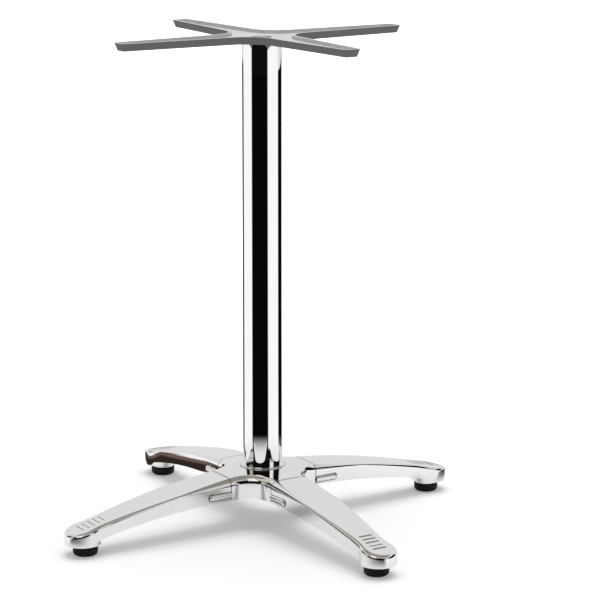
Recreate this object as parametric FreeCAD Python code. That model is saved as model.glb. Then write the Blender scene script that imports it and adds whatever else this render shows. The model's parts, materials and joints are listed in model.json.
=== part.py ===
import FreeCAD, Part
import os
from math import cos, hypot, radians, sin, sqrt

# Pedestal base for a table top: four cast legs around a cast hub, a round column, and a cast
# cross plate that carries the top. Millimetres, +Z up. The origin is on the floor, on the
# column's axis, and the legs lie along +X, +Y, -X and -Y.

# Overall
base_height = 720.0
leg_reach = 326.0

# Column and the tie rod inside it
column_diameter = 57.0
column_wall = 2.0
tie_rod_diameter = 12.0
spigot_play = 0.1
tie_rod_play = 0.5

# Deck: the cambered top surface that the hub and the legs share
seat_height = 87.4
seat_diameter = 64.0
seat_lip = 1.2
toe_depth = 16.7
deck_camber = 6.2
deck_thickness = 5.0

# Hollow side of the castings
hub_depth = 37.0
neck_rise = 2.4
underside_camber = 7.8
side_wall = 4.0
leg_seam_wall = 8.0
hub_seam_wall = 7.0
rib_thickness = 4.0
rib_recess = 5.0

# Leg outline, and its shoulders between deck and sides
seam_radius = 73.0
leg_root_width = 63.0
neck_to_toe = 38.0
neck_width = 46.4
side_bow = 1.3
toe_diameter = 52.0
toe_clearance = 1.45
seam_to_waist = 85.0
root_shoulder = 10.5
waist_shoulder = 2.6
toe_shoulder = 6.5

# Foot grip grooves across the deck near the toe
groove_count = 5
groove_pitch = 8.6
groove_length = 22.0
groove_width = 2.6
groove_depth = 0.5
grooves_to_tip = 57.0

# Hub
crotch_radius = 37.5
hub_boss_diameter = 36.0
hub_boss_length = 32.0
hub_spigot_length = 25.0
spigot_wall = 5.0

# Screws that join each leg to the hub
leg_bolt_diameter = 8.0
leg_bolt_length = 25.0
leg_bolt_head_diameter = 13.0
leg_bolt_key = 6.0
leg_bolt_key_depth = 4.0
leg_bolt_drop = 23.0
leg_bolt_spacing = 38.0
leg_bolt_washer_diameter = 15.0
leg_bolt_washer_thickness = 1.6
bolt_hole_play = 0.3
thread_play = 0.05
bolt_boss_wall = 3.0
drill_allowance = 3.0

# Swelling of the side wall beside each leg screw
swell_diameter = 10.4
swell_length = 38.0
swell_proud = 2.6

# Levelling glides
glide_setback = 4.0
glide_diameter = 35.8
glide_pad_height = 13.4
glide_pad_round = 5.5
glide_pad_round_steps = 4
glide_disc_diameter = 34.0
glide_disc_thickness = 2.0
glide_stud_diameter = 10.0
glide_stud_length = 27.0
glide_flange_diameter = 16.0
glide_flange_thickness = 3.5
glide_flange_height = 4.0
glide_turning_gap = 0.15
glide_boss_wall = 5.5

# Cross plate
spider_reach = 233.0
spider_thickness = 11.0
spider_tip_width = 27.5
spider_root_width = 47.0
spider_root_reach = 60.0
spider_crotch_radius = 40.0
spider_tip_radius = 7.0
spider_draft_inset = 4.5
rim_width = 4.2
pocket_depth = 5.0
pocket_draft_inset = 1.0
screw_hole_diameter = 6.5
inner_screw_reach = 86.0
outer_screw_reach = 207.0
spider_spigot_length = 24.0
spider_web = 8.0

# Nuts and washers of the tie rod
nut_across_flats = 19.0
nut_height = 10.8
nut_socket_play = 3.0
tie_washer_diameter = 24.0
tie_washer_thickness = 2.5
clamp_washer_diameter = 34.0
clamp_washer_thickness = 3.0
rod_stick_out = 2.0
hardware_chamfer = 0.8

# Places and radii that follow from the sizes above
leg_turns = (0, 90, 180, 270)
seat_radius = seat_diameter / 2
column_radius = column_diameter / 2
spigot_radius = column_radius - column_wall - spigot_play
tie_rod_radius = tie_rod_diameter / 2
toe_radius = toe_diameter / 2
toe_centre = leg_reach - toe_radius
neck_reach = toe_centre - neck_to_toe
waist_reach = seam_radius + seam_to_waist
groove_first_reach = leg_reach - grooves_to_tip
glide_reach = toe_centre - glide_setback
toe_bottom_height = glide_pad_height + glide_turning_gap + glide_disc_thickness + toe_clearance
toe_top_height = toe_bottom_height + toe_depth
neck_underside_height = toe_bottom_height + neck_rise
hub_underside_height = seat_height - hub_depth
root_half = leg_root_width / 2
neck_half = neck_width / 2
crotch_centre = root_half + crotch_radius
hub_boss_bottom = seat_height - hub_boss_length
leg_bolt_radius = leg_bolt_diameter / 2
leg_bolt_head_height = leg_bolt_diameter
leg_bolt_seat = seam_radius - hub_seam_wall - leg_bolt_washer_thickness
leg_bolt_end = leg_bolt_seat + leg_bolt_length
glide_stud_radius = glide_stud_diameter / 2
glide_stud_top = glide_flange_height + glide_flange_thickness + glide_stud_length
spider_underside = base_height - spider_thickness
pocket_floor = base_height - pocket_depth
nut_pocket_radius = tie_washer_diameter / 2 + nut_socket_play
tie_nut_top = pocket_floor - 1.0
nut_pocket_floor = tie_nut_top - nut_height - tie_washer_thickness
spider_spigot_bottom = spider_underside - spider_spigot_length
below_floor = -20.0
above_foot = seat_height + 40.0
outside = leg_reach + 10.0
Z_AXIS = FreeCAD.Vector(0, 0, 1)
ORIGIN = FreeCAD.Vector(0, 0, 0)


def point(x, y=0.0, z=0.0):
    return FreeCAD.Vector(x, y, z)


def cylinder(radius, bottom, top, x=0.0, y=0.0):
    return Part.makeCylinder(radius, top - bottom, point(x, y, bottom))


def rod_along_x(radius, start, end, y, z):
    return Part.makeCylinder(radius, end - start, point(start, y, z), point(1, 0, 0))


def block(low, high):
    return Part.makeBox(high.x - low.x, high.y - low.y, high.z - low.z, low)


def prism(wire, bottom=below_floor, top=above_foot):
    base = Part.Face(wire)
    base.translate(point(0, 0, bottom))
    return base.extrude(point(0, 0, top - bottom))


def turned(corners, x=0.0):
    """Solid turned about the vertical line through x, from (radius, height) corners."""
    outline = [point(x + radius, 0, height) for radius, height in corners]
    return Part.Face(Part.makePolygon(outline + outline[:1])).revolve(point(x), Z_AXIS, 360)


def around_column(shape, turn):
    """Copy of a shape made on +X, turned to the place of one of the legs."""
    copy = shape.copy()
    copy.rotate(ORIGIN, Z_AXIS, turn)
    return copy


def mirrored(shape):
    return shape.mirror(ORIGIN, point(0, 1, 0))


def both_sides(shape):
    return [shape, mirrored(shape)]


class CamberedCurve:
    """Circle arc from one reach and height to another, bowed upwards in the middle."""

    def __init__(self, start_reach, start_height, end_reach, end_height, rise):
        half_run = (end_reach - start_reach) / 2
        half_climb = (end_height - start_height) / 2
        half_chord = hypot(half_run, half_climb)
        self.radius = (half_chord ** 2 + rise ** 2) / (2 * rise)
        to_centre = (self.radius - rise) / half_chord
        self.centre_reach = start_reach + half_run + half_climb * to_centre
        self.centre_height = start_height + half_climb - half_run * to_centre

    def height(self, reach, inset=0.0):
        radius = self.radius - inset
        return self.centre_height + sqrt(radius ** 2 - (reach - self.centre_reach) ** 2)

    def upright_edge(self, start, end, inset=0.0):
        reaches = (start, (start + end) / 2, end)
        return Part.Arc(*[point(r, 0, self.height(r, inset)) for r in reaches]).toShape()

    def flat_edge(self, start, end, inset=0.0):
        reaches = (start, (start + end) / 2, end)
        return Part.Arc(*[point(r, self.height(r, inset)) for r in reaches]).toShape()


deck = CamberedCurve(seat_radius, seat_height - seat_lip, leg_reach, toe_top_height, deck_camber)
leg_bolt_height = deck.height(seam_radius) - leg_bolt_drop
underside = CamberedCurve(
    seam_radius, hub_underside_height, toe_centre, neck_underside_height, underside_camber
)
leg_side = CamberedCurve(seam_radius, root_half, neck_reach, neck_half, side_bow)


def below_deck():
    """Everything under the deck and the column's seat."""
    curve = deck.upright_edge(seat_radius, outside)
    inner = curve.valueAt(curve.FirstParameter)
    outer = curve.valueAt(curve.LastParameter)
    walls = Part.makePolygon([
        outer, point(outside, 0, below_floor), point(0, 0, below_floor),
        point(0, 0, seat_height), point(seat_radius, 0, seat_height), inner,
    ])
    return Part.Face(Part.Wire([curve] + walls.Edges)).revolve(ORIGIN, Z_AXIS, 360)


def beside_underside(raised, side):
    """Slab as wide as a leg, above (side 1) or below (side -1) the leg's lower edge."""
    start, end = seam_radius - side_wall, toe_centre
    curve = underside.upright_edge(start, end, -raised)
    first, last = curve.valueAt(curve.FirstParameter), curve.valueAt(curve.LastParameter)
    level = above_foot if side > 0 else below_floor
    walls = Part.makePolygon([last, point(end, 0, level), point(start, 0, level), first])
    face = Part.Face(Part.Wire([curve] + walls.Edges))
    face.translate(point(0, -leg_root_width, 0))
    return face.extrude(point(0, 2 * leg_root_width, 0))


def toe_point(angle):
    turn = radians(angle)
    return point(toe_centre + toe_radius * cos(turn), toe_radius * sin(turn))


def leg_half_outline():
    """Outline from above of the half of a leg on its +Y side, from the seam to the tip."""
    toe_start = 105.0
    side = leg_side.flat_edge(seam_radius, neck_reach)
    toe = Part.Arc(toe_point(toe_start), toe_point(toe_start / 2), toe_point(0)).toShape()
    blend = Part.BSplineCurve()
    blend.interpolate(
        Points=[side.valueAt(side.LastParameter), toe_point(toe_start)],
        InitialTangent=side.tangentAt(side.LastParameter),
        FinalTangent=point(sin(radians(toe_start)), -cos(radians(toe_start))),
    )
    closing = Part.makePolygon([toe_point(0), point(seam_radius), point(seam_radius, root_half)])
    return Part.Wire([side, blend.toShape(), toe] + closing.Edges)


def on_deck(edge):
    return all(abs(spot.z - deck.height(hypot(spot.x, spot.y))) < 0.01 for spot in edge.discretize(5))


def leg_side_edges(body, inner, outer):
    """Edges between the deck and the leg's side, from one reach to another."""
    return [
        edge for edge in body.Edges
        if on_deck(edge)
        and edge.BoundBox.XMin > inner - 0.1
        and edge.BoundBox.XMax < outer + 0.1
        and edge.BoundBox.XLength > 1.0
        and edge.BoundBox.YLength > 0.1
    ]


def leg_blank():
    """Outer form of a leg, still solid below, with shoulders that narrow to the waist."""
    half = prism(leg_half_outline()).common(below_deck())
    root = half.common(block(point(0, -1, below_floor), point(waist_reach, outside, above_foot)))
    front = half.common(block(point(waist_reach, -1, below_floor), point(outside, outside, above_foot)))
    root_edges = leg_side_edges(root, seam_radius, waist_reach)
    front_edges = leg_side_edges(front, waist_reach, leg_reach)
    root = root.makeFillet(root_shoulder, waist_shoulder, root_edges)
    front = front.makeFillet(waist_shoulder, toe_shoulder, front_edges[:1])
    return root.fuse([front, mirrored(root), mirrored(front)]).removeSplitter()


def leg_bolt_rod(radius, start, end):
    y = leg_bolt_spacing / 2
    return both_sides(rod_along_x(radius, start, end, y, leg_bolt_height))


def leg_swells():
    """Long rounded swellings on both side walls, beside the leg screws."""
    radius = swell_diameter / 2
    y = root_half + swell_proud - radius
    end = seam_radius + swell_length - radius
    swell = rod_along_x(radius, seam_radius, end, y, leg_bolt_height)
    tip = Part.makeSphere(radius, point(end, y, leg_bolt_height))
    return both_sides(swell.fuse(tip))


def leg_ribs():
    """One rib along the leg and three across it, set back from the lower edge."""
    start = seam_radius
    half = rib_thickness / 2
    wide = root_half
    ribs = [block(point(start, -half, below_floor), point(toe_centre, half, above_foot))]
    for share in (0.3, 0.55, 0.8):
        x = seam_radius + share * (neck_reach - seam_radius)
        ribs.append(block(point(x - half, -wide, below_floor), point(x + half, wide, above_foot)))
    return ribs[0].fuse(ribs[1:]).common(beside_underside(rib_recess, 1))


def leg_ceiling():
    """Everything under the leg's inner ceiling, which follows the deck along the leg."""
    curve = deck.upright_edge(seam_radius, leg_reach, deck_thickness)
    first, last = curve.valueAt(curve.FirstParameter), curve.valueAt(curve.LastParameter)
    walls = Part.makePolygon([
        last, point(leg_reach, 0, below_floor), point(seam_radius, 0, below_floor), first
    ])
    face = Part.Face(Part.Wire([curve] + walls.Edges))
    face.translate(point(0, -leg_root_width, 0))
    return face.extrude(point(0, 2 * leg_root_width, 0))


def leg_cavity():
    """Open hollow under the deck, around the bolt bosses and the ribs."""
    start, end = seam_radius + leg_seam_wall, toe_centre - toe_radius / 2
    side = leg_side.flat_edge(start, end, side_wall)
    first, last = side.valueAt(side.FirstParameter), side.valueAt(side.LastParameter)
    far_side = mirrored(side)
    ends = [
        Part.makeLine(last, point(last.x, -last.y)),
        Part.makeLine(point(first.x, -first.y), first),
    ]
    outline = Part.Wire([side, ends[0], far_side, ends[1]])
    bosses = leg_bolt_rod(leg_bolt_radius + bolt_boss_wall, seam_radius, leg_bolt_end + 2 * drill_allowance)
    toe_wall = cylinder(toe_radius, below_floor, above_foot, toe_centre)
    return prism(outline).common(leg_ceiling()).cut([toe_wall, leg_ribs()] + bosses)


def toe_pocket():
    """Ring-shaped hollow in the toe, around the boss that the glide screws into."""
    ceiling = toe_top_height - deck_thickness
    ring = cylinder(toe_radius - side_wall, below_floor, ceiling, toe_centre)
    return ring.cut(cylinder(glide_stud_radius + glide_boss_wall, below_floor, ceiling, glide_reach))


def grip_grooves():
    """Short shallow grooves across the deck, each cut by a round bar laid on it."""
    radius = (groove_width ** 2 / 4 + groove_depth ** 2) / (2 * groove_depth)
    bars = []
    for index in range(groove_count):
        x = groove_first_reach + index * groove_pitch
        z = deck.height(x) + radius - groove_depth
        start = point(x, -groove_length / 2, z)
        bars.append(Part.makeCylinder(radius, groove_length, start, point(0, 1, 0)))
    return bars


def make_leg():
    """Leg casting along +X."""
    toe_stand = cylinder(toe_radius, below_floor, above_foot, toe_centre)
    beyond_toe = block(point(0, -outside, below_floor), point(outside, outside, toe_bottom_height))
    leg = leg_blank().cut([beside_underside(0, -1).cut(toe_stand), beyond_toe])
    leg = leg.fuse(leg_swells())
    stud_hole = cylinder(
        glide_stud_radius + thread_play, below_floor, glide_stud_top + 1.0, glide_reach
    )
    bolt_holes = leg_bolt_rod(leg_bolt_radius + thread_play, 0, leg_bolt_end + drill_allowance)
    leg = leg.cut([leg_cavity(), toe_pocket(), stud_hole] + bolt_holes + grip_grooves())
    return leg.removeSplitter()


def hub_prism(seam, wall):
    """Cross-shaped prism with concave crotches, inset from the hub's outline by a wall."""
    radius = crotch_radius + wall
    arm_side = crotch_centre - radius
    core = block(point(-seam, -seam, below_floor), point(seam, seam, above_foot))
    corner = [
        cylinder(radius, below_floor, above_foot, crotch_centre, crotch_centre),
        block(point(crotch_centre, arm_side, below_floor), point(outside, outside, above_foot)),
        block(point(arm_side, crotch_centre, below_floor), point(outside, outside, above_foot)),
    ]
    return core.cut([around_column(tool, turn) for tool in corner for turn in leg_turns])


def crotch_edges(body):
    """Edges between the deck and the hub's concave sides."""
    seam = seam_radius - 0.1
    return [
        edge for edge in body.Edges
        if on_deck(edge)
        and min(abs(edge.BoundBox.Center.x), abs(edge.BoundBox.Center.y)) > root_half - 1.0
        and max(abs(edge.BoundBox.Center.x), abs(edge.BoundBox.Center.y)) < seam
    ]


def hub_ribs():
    half = rib_thickness / 2
    rib = block(point(0, -half, hub_underside_height + rib_recess), point(outside, half, above_foot))
    return [around_column(rib, turn + 45) for turn in leg_turns]


def make_hub():
    """Hub casting with its seat, spigot, tie rod boss and four seam walls."""
    body = hub_prism(seam_radius, 0).common(below_deck())
    body = body.makeFillet(root_shoulder, crotch_edges(body))
    body = body.cut(block(point(-outside, -outside, below_floor), point(outside, outside, hub_underside_height)))
    boss = cylinder(hub_boss_diameter / 2, hub_boss_bottom, above_foot)
    ceiling = deck.height(seam_radius) - deck_thickness
    hollow = hub_prism(seam_radius - hub_seam_wall, side_wall).cut(
        block(point(-outside, -outside, ceiling), point(outside, outside, above_foot))
    )
    spigot = cylinder(spigot_radius, ceiling, seat_height + hub_spigot_length)
    core = cylinder(spigot_radius - spigot_wall, seat_height, above_foot)
    rod_hole = cylinder(tie_rod_radius + tie_rod_play, below_floor, above_foot)
    bolt_holes = leg_bolt_rod(leg_bolt_radius + bolt_hole_play, seam_radius - 2 * hub_seam_wall, outside)
    holes = [around_column(hole, turn) for hole in bolt_holes for turn in leg_turns]
    nut_space = cylinder(clamp_washer_diameter / 2 + nut_socket_play, below_floor, hub_boss_bottom)
    body = body.cut([hollow.cut([boss] + hub_ribs()), nut_space])
    return body.fuse(spigot).cut([core, rod_hole] + holes).removeSplitter()


def make_column():
    tube = cylinder(column_radius, seat_height, spider_underside)
    return tube.cut(cylinder(column_radius - column_wall, seat_height, spider_underside))


def spider_outline():
    """Outline of the cross plate's top: four tapered arms joined by large crotch arcs."""
    slope = (spider_root_width - spider_tip_width) / 2 / (spider_reach - spider_root_reach)
    stretch = hypot(1, slope)
    side_start = spider_tip_width / 2 + slope * spider_reach
    centre = (side_start + spider_crotch_radius * stretch) / (1 + slope)
    to_side = point(slope, 1) / stretch
    crotch = point(centre, centre)
    crotch_end = crotch - to_side * spider_crotch_radius
    crotch_middle = crotch - point(1, 1).normalize() * spider_crotch_radius
    tip_x = spider_reach - spider_tip_radius
    tip = point(tip_x, side_start - slope * tip_x - spider_tip_radius * stretch)
    side_end = tip + to_side * spider_tip_radius
    tip_end = tip + point(spider_tip_radius, 0)
    tip_middle = tip + (to_side + point(1, 0)).normalize() * spider_tip_radius
    half_crotch = Part.Arc(
        crotch_middle,
        crotch - (to_side + point(1, 1).normalize()).normalize() * spider_crotch_radius,
        crotch_end,
    ).toShape()
    half_arm = [
        half_crotch,
        Part.makeLine(crotch_end, side_end),
        Part.Arc(side_end, tip_middle, tip_end).toShape(),
    ]
    arm_end = Part.makeLine(tip_end, point(tip_end.x, -tip_end.y))
    arm = half_arm + [arm_end] + [mirrored(edge) for edge in half_arm]
    edges = [around_column(edge, turn) for turn in leg_turns for edge in arm]
    return Part.Wire(Part.__sortEdges__(edges))


def drafted_plate(outline, inset, draft, top, bottom):
    """Plate whose outline is inset at its top, and by the draft more at its bottom."""
    upper = outline.makeOffset2D(-inset) if inset else outline.copy()
    lower = outline.makeOffset2D(-inset - draft)
    upper.translate(point(0, 0, top))
    lower.translate(point(0, 0, bottom))
    return Part.makeLoft([upper, lower], True, True)


def make_spider():
    """Cross plate casting: trough-shaped arms with rims, a spigot below and a nut pocket."""
    outline = spider_outline()
    plate = drafted_plate(outline, 0, spider_draft_inset, base_height, spider_underside)
    pocket = drafted_plate(outline, rim_width, pocket_draft_inset, base_height, pocket_floor)
    spigot = cylinder(spigot_radius, spider_spigot_bottom, spider_underside)
    nut_pocket = cylinder(nut_pocket_radius, nut_pocket_floor, base_height)
    core = cylinder(spigot_radius - spigot_wall, below_floor, nut_pocket_floor - spider_web)
    rod_hole = cylinder(tie_rod_radius + tie_rod_play, below_floor, base_height)
    screw_hole = cylinder(screw_hole_diameter / 2, spider_underside, base_height)
    screw_holes = []
    for reach in (inner_screw_reach, outer_screw_reach):
        moved = screw_hole.copy()
        moved.translate(point(reach))
        screw_holes += [around_column(moved, turn) for turn in leg_turns]
    return plate.cut(pocket).fuse(spigot).cut([nut_pocket, core, rod_hole] + screw_holes)


def washer(hole, diameter, bottom, thickness):
    ring = cylinder(diameter / 2, bottom, bottom + thickness)
    return ring.cut(cylinder(hole, bottom, bottom + thickness))


def hexagon(across_flats, bottom, top):
    corner = across_flats / sqrt(3)
    corners = [point(corner * cos(radians(a)), corner * sin(radians(a))) for a in range(0, 361, 60)]
    return prism(Part.makePolygon(corners), bottom, top)


def nut(bottom):
    """Hexagon nut, plain bored."""
    top = bottom + nut_height
    return hexagon(nut_across_flats, bottom, top).cut(cylinder(tie_rod_radius + thread_play, bottom, top))


def rod(radius, bottom, top, x=0.0):
    """Round rod with both ends chamfered."""
    face = radius - hardware_chamfer
    return turned([
        (0, bottom), (face, bottom), (radius, bottom + hardware_chamfer),
        (radius, top - hardware_chamfer), (face, top), (0, top),
    ], x)


def tie_rod_parts():
    clamp_bottom = hub_boss_bottom - clamp_washer_thickness
    lower_nut = clamp_bottom - nut_height
    hole = tie_rod_radius + tie_rod_play
    return {
        "tie_rod": rod(tie_rod_radius, lower_nut - rod_stick_out, tie_nut_top + rod_stick_out),
        "tie_washer_top": washer(hole, tie_washer_diameter, nut_pocket_floor, tie_washer_thickness),
        "tie_nut_top": nut(tie_nut_top - nut_height),
        "tie_washer_bottom": washer(hole, clamp_washer_diameter, clamp_bottom, clamp_washer_thickness),
        "tie_nut_bottom": nut(lower_nut),
    }


def leg_bolt():
    """Socket head screw along +X, its head inside the hub."""
    head_start = leg_bolt_seat - leg_bolt_head_height
    y, z = leg_bolt_spacing / 2, leg_bolt_height
    head = rod_along_x(leg_bolt_head_diameter / 2, head_start, leg_bolt_seat, y, z)
    shank = rod_along_x(leg_bolt_radius, leg_bolt_seat, leg_bolt_end, y, z)
    key = hexagon(leg_bolt_key, 0, leg_bolt_key_depth)
    key.rotate(ORIGIN, point(0, 1, 0), 90)
    key.translate(point(head_start, y, z))
    return head.fuse(shank).cut(key)


def leg_bolt_washer():
    y, z = leg_bolt_spacing / 2, leg_bolt_height
    start, end = leg_bolt_seat, leg_bolt_seat + leg_bolt_washer_thickness
    ring = rod_along_x(leg_bolt_washer_diameter / 2, start, end, y, z)
    return ring.cut(rod_along_x(leg_bolt_radius + bolt_hole_play, start, end, y, z))


def all_leg_bolts(fastener):
    places = [around_column(one, turn) for turn in leg_turns for one in both_sides(fastener)]
    return Part.makeCompound(places)


def glide_pad():
    """Moulded foot with a rounded lower edge and a socket that holds the stud's flange."""
    radius = glide_diameter / 2
    outline = [(0, 0)]
    for step in range(glide_pad_round_steps + 1):
        turn = radians(90 * step / glide_pad_round_steps)
        outline.append((
            radius - glide_pad_round * (1 - sin(turn)), glide_pad_round * (1 - cos(turn))
        ))
    outline += [(radius, glide_pad_height), (0, glide_pad_height)]
    socket = cylinder(
        glide_flange_diameter / 2 + glide_turning_gap,
        glide_flange_height - glide_turning_gap,
        glide_flange_height + glide_flange_thickness + glide_turning_gap,
        glide_reach,
    )
    neck = cylinder(glide_stud_radius + glide_turning_gap, glide_flange_height, above_foot, glide_reach)
    return turned(outline, glide_reach).cut([socket, neck])


def glide_disc():
    """Steel disc pressed on the stud, with a chamfered upper edge."""
    bottom = glide_pad_height + glide_turning_gap
    top = bottom + glide_disc_thickness
    radius = glide_disc_diameter / 2
    body = turned([
        (0, bottom), (radius, bottom), (radius, top - hardware_chamfer),
        (radius - hardware_chamfer, top), (0, top),
    ], glide_reach)
    return body.cut(cylinder(glide_stud_radius + thread_play, bottom, top, glide_reach))


def glide_stud():
    flange_top = glide_flange_height + glide_flange_thickness
    flange = cylinder(glide_flange_diameter / 2, glide_flange_height, flange_top, glide_reach)
    return flange.fuse(rod(glide_stud_radius, glide_flange_height, glide_stud_top, glide_reach)).removeSplitter()


def all_parts():
    parts = {
        "top_spider": make_spider(),
        "column_tube": make_column(),
        "base_hub": make_hub(),
        "leg_bolts": all_leg_bolts(leg_bolt()),
        "leg_bolt_washers": all_leg_bolts(leg_bolt_washer()),
        **tie_rod_parts(),
    }
    per_leg = {
        "leg": make_leg(),
        "glide_pad": glide_pad(),
        "glide_disc": glide_disc(),
        "glide_stud": glide_stud(),
    }
    for name, shape in per_leg.items():
        for number, turn in enumerate(leg_turns, 1):
            parts[f"{name}_{number}"] = around_column(shape, turn)
    return parts


os.makedirs("parts", exist_ok=True)
for part_name, part_shape in all_parts().items():
    part_shape.exportStep(f"parts/{part_name}.step")
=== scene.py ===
"""Looks of a four star table base: mirror polished castings, a bright column and a raw cross plate.

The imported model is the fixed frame. The polished castings, the column and the glides are built
again here with finer faces, because a mirror finish shows every facet. The cross plate keeps
its shape with softened edges. The other pieces keep their own meshes and get a finish.
"""

import json
import logging
import math
from collections.abc import Callable, Iterable, Sequence
from dataclasses import dataclass, field
from enum import Enum

import bmesh
import bpy
from mathutils import Matrix, Vector
from mathutils.bvhtree import BVHTree


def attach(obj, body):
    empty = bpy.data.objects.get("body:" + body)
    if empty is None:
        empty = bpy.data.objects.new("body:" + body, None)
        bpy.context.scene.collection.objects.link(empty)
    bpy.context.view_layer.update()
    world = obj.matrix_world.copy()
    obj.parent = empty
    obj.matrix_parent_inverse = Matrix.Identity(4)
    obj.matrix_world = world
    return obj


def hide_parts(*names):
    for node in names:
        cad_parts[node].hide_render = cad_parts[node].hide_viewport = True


log = logging.getLogger("table_base")

# Short names for the types that most signatures use.
Socket = bpy.types.NodeSocket
NodeTree = bpy.types.NodeTree
Node = bpy.types.Node
Shape = bmesh.types.BMesh
Edge = bmesh.types.BMEdge
Corner = bmesh.types.BMVert
Colour = tuple[float, float, float]

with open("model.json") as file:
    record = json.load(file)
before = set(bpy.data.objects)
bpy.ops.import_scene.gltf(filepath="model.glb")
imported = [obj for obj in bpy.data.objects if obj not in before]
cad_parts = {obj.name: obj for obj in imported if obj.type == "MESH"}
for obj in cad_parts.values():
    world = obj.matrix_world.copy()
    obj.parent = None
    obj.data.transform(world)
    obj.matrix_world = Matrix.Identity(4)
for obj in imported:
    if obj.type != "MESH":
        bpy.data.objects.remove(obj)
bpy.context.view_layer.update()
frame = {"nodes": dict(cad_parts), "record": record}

MM = 0.001
BODY = "root"
LEG_TURNS = (0, 90, 180, 270)
WHITE = (1.0, 1.0, 1.0)
# Attribute of the castings' dark colour: dirt in the seams' joints, painted shade in corners,
# grooves and on the cross plate's sides.
DIRT_AND_SHADE = "dirt_and_shade"
# Share of dark colour just beside a seam, as joint dirt, and at the foot of a lip, as painted
# shade.
SOFT_DIRT_AND_SHADE = 0.6
# Faces that meet at more than this angle keep a sharp edge.
SHARP_EDGE = math.radians(35.0)

# Distances between places, in millimetres.
SAME_SPOT = 0.001
NEAR_SPOT = 0.002
SLIVER = 0.0001
ZIP_GAP = 0.02
ZIP_REACH = 0.35
SKIN_GAP = 1.0
SKIN_LIKENESS = 0.5
OFF_LINE = 0.1
ON_PLANE = 0.05
ON_SEAM = 0.02
SEAM_SPACING = 3.0
# Faces of the nodes closer under the deck than this belong to the deck.
DECK_SKIN = 0.8


class Slot(Enum):
    """Material slots of the record."""

    POLISHED = "polished_aluminium"
    CHROME = "bright_chrome"
    CAST = "cast_aluminium"
    ZINC = "zinc_steel"
    FOOT = "black_foot"


# Node groups that several finishes share


@dataclass
class NodeLayout:
    """Adds nodes and links to one node tree."""

    tree: NodeTree

    def add(self, kind: str, **settings: object) -> Node:
        """Add a node and set its plain properties.

        Args:
            kind: Blender's node type.
            settings: attribute names and values of the node.

        Returns:
            The new node.
        """
        node = self.tree.nodes.new(kind)
        for name, value in settings.items():
            setattr(node, name, value)
        return node

    def link(self, source: Socket, target: Socket) -> None:
        """Join an output socket to an input socket."""
        self.tree.links.new(source, target)

    def math(self, operation: str, *values: object) -> Socket:
        """Add a math node.

        Args:
            operation: Blender's name of the operation.
            values: numbers, or output sockets to link.

        Returns:
            The node's output socket.
        """
        node = self.add("ShaderNodeMath", operation=operation)
        for place, value in enumerate(values):
            if isinstance(value, Socket):
                self.link(value, node.inputs[place])
            else:
                node.inputs[place].default_value = value
        return node.outputs[0]

    def plus(self, one: object, other: object) -> Socket:
        """Sum of two values."""
        return self.math("ADD", one, other)

    def minus(self, one: object, other: object) -> Socket:
        """First value less the second."""
        return self.math("SUBTRACT", one, other)

    def times(self, one: object, other: object) -> Socket:
        """Product of two values."""
        return self.math("MULTIPLY", one, other)

    def greatest(self, first: Socket, *others: Socket) -> Socket:
        """Greatest of some values."""
        for other in others:
            first = self.math("MAXIMUM", first, other)
        return first

    def blend(self, mask: Socket, inside: object, outside: object) -> Socket:
        """One value where a mask is 1 and another where it is 0."""
        return self.plus(self.times(mask, inside), self.times(self.minus(1.0, mask), outside))

    def ramp(self, value: Socket, low: float, high: float) -> Socket:
        """Smooth step of a value from 0 at low to 1 at high."""
        node = self.add("ShaderNodeMapRange", interpolation_type="SMOOTHSTEP")
        node.inputs["From Min"].default_value = low
        node.inputs["From Max"].default_value = high
        self.link(value, node.inputs["Value"])
        return node.outputs["Result"]

    def band(self, value: Socket, low: float, high: float, soft: float) -> Socket:
        """Mask of a value between low and high, with soft edges."""
        rise = self.ramp(value, low - soft, low + soft)
        return self.minus(rise, self.ramp(value, high - soft, high + soft))

    def colour(self, mask: Socket, first: object, second: object) -> Socket:
        """Mix two colours.

        Args:
            mask: 0 for the first colour, 1 for the second.
            first: a colour, or an output socket to link.
            second: a colour, or an output socket to link.

        Returns:
            The node's output socket.
        """
        node = self.add("ShaderNodeMix", data_type="RGBA")
        self.link(mask, node.inputs[0])
        # The colour sockets of a Mix node share their names with its number sockets.
        for place, colour in ((6, first), (7, second)):
            if isinstance(colour, Socket):
                self.link(colour, node.inputs[place])
            else:
                node.inputs[place].default_value = (*colour, 1.0)
        return node.outputs[2]


def group_with(
    name: str, inputs: dict[str, float], outputs: dict[str, str]
) -> tuple[NodeLayout, Node, Node]:
    """Make an empty node group.

    Args:
        name: the group's name.
        inputs: names and defaults of its number inputs.
        outputs: names and socket types of its outputs.

    Returns:
        The layout, the group's input node and its output node.
    """
    tree = bpy.data.node_groups.new(name, "ShaderNodeTree")
    for socket, value in inputs.items():
        made = tree.interface.new_socket(socket, in_out="INPUT", socket_type="NodeSocketFloat")
        made.default_value = value
    for socket, kind in outputs.items():
        tree.interface.new_socket(socket, in_out="OUTPUT", socket_type=kind)
    layout = NodeLayout(tree)
    return layout, layout.add("NodeGroupInput"), layout.add("NodeGroupOutput")


def mottling_group() -> NodeTree:
    """Build the group that varies tone and gloss over a surface.

    Returns:
        A group with two masks: broad clouds for the tone, and finer ones for the gloss.
    """
    layout, given, result = group_with(
        "mottling",
        {"Cloud scale": 20.0, "Fine scale": 300.0},
        {"Tone mask": "NodeSocketFloat", "Gloss mask": "NodeSocketFloat"},
    )
    place = layout.add("ShaderNodeTexCoord").outputs["Object"]
    rows = (("Cloud scale", "Tone mask", 4.0), ("Fine scale", "Gloss mask", 5.0))
    for scale, mask, detail in rows:
        noise = layout.add("ShaderNodeTexNoise")
        noise.inputs["Detail"].default_value = detail
        layout.link(place, noise.inputs["Vector"])
        layout.link(given.outputs[scale], noise.inputs["Scale"])
        layout.link(noise.outputs["Fac"], result.inputs[mask])
    return layout.tree


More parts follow.
